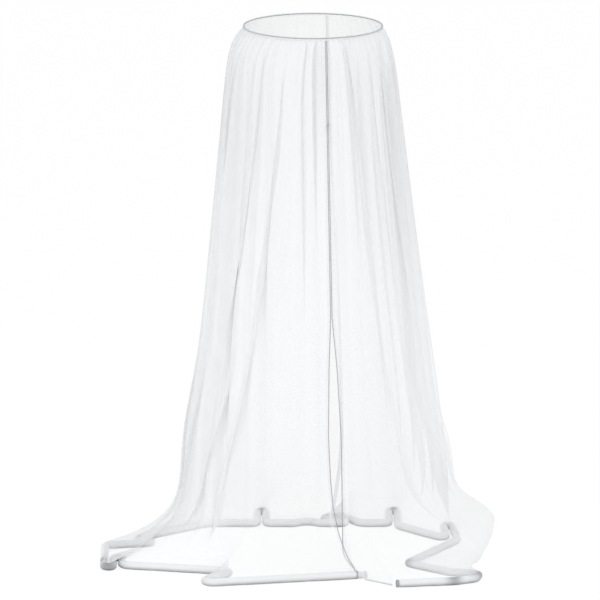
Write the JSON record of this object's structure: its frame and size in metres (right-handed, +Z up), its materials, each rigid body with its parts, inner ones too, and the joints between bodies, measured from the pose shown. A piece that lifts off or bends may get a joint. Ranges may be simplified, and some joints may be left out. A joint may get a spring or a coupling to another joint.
{
  "type": "parasol mosquito net",
  "caption": "White mesh net that hangs from a parasol to the floor, with a corded top opening, a zipped door and a hem held down by water-filled tubes.",
  "frame": {"origin": "on the floor, at the middle of the net's bounding box seen from above; the rim's axis stands at x 0.084, y 0.024 m", "axes": "+Z up, along the net's height; -Y towards the door; +X to the right of a person who faces the door from outside"},
  "size_m": [1.6553, 1.4813, 2.3],
  "materials": {
    "net_mesh": "matte",
    "casing": "matte",
    "cord": "matte",
    "tape": "matte",
    "coil": "satin",
    "metal": "satin",
    "binding": "matte",
    "sleeve": "satin",
    "tube": "gloss",
    "neck": "satin",
    "plug": "satin"
  },
  "bodies": {
    "net": {"net_front_left": "net_mesh", "net_back_left": "net_mesh", "net_back_right": "net_mesh", "net_front_right": "net_mesh", "seam_left": "tape", "seam_back": "tape", "seam_right": "tape", "top_casing": "casing", "rim_cord": "cord", "zip_tape_left": "tape", "zip_tape_right": "tape", "zip_coil_left": "coil", "zip_coil_right": "coil", "zip_top_stop": "metal", "zip_end_binding": "binding", "door_sill": "casing", "hem_sleeve_front_left": "sleeve", "hem_sleeve_back_left": "sleeve", "hem_sleeve_back_right": "sleeve", "hem_sleeve_front_right": "sleeve", "water_tube_left": "tube", "water_tube_right": "tube", "filler_neck_left": "neck", "filler_neck_right": "neck"},
    "slider": {"zip_slider": "metal"},
    "pull_outer": {"zip_pull_outer": "metal"},
    "pull_inner": {"zip_pull_inner": "metal"},
    "plug_left": {"filler_plug_left": "plug"},
    "plug_right": {"filler_plug_right": "plug"}
  },
  "joints": [
    {"name": "zip_slide", "type": "slide", "parent": "net", "child": "slider", "axis": [-0.0191, 0.1757, 0.9843], "range_m": [-0.77, 0.34]},
    {"name": "pull_outer_swing", "type": "hinge", "parent": "slider", "child": "pull_outer", "pos_m": [0.14629, -0.33701, 1.931], "axis": [-0.9998, 0, -0.0194], "range_deg": [0, 150]},
    {"name": "pull_inner_swing", "type": "hinge", "parent": "slider", "child": "pull_inner", "pos_m": [0.14632, -0.32755, 1.92931], "axis": [0.9998, 0, 0.0194], "range_deg": [-8, 150]},
    {"name": "plug_left_pull", "type": "slide", "parent": "net", "child": "plug_left", "axis": [0.9721, 0.2344, 0], "range_m": [0, 0.02]},
    {"name": "plug_right_pull", "type": "slide", "parent": "net", "child": "plug_right", "axis": [-0.9824, -0.1865, 0], "range_m": [0, 0.02]}
  ]
}
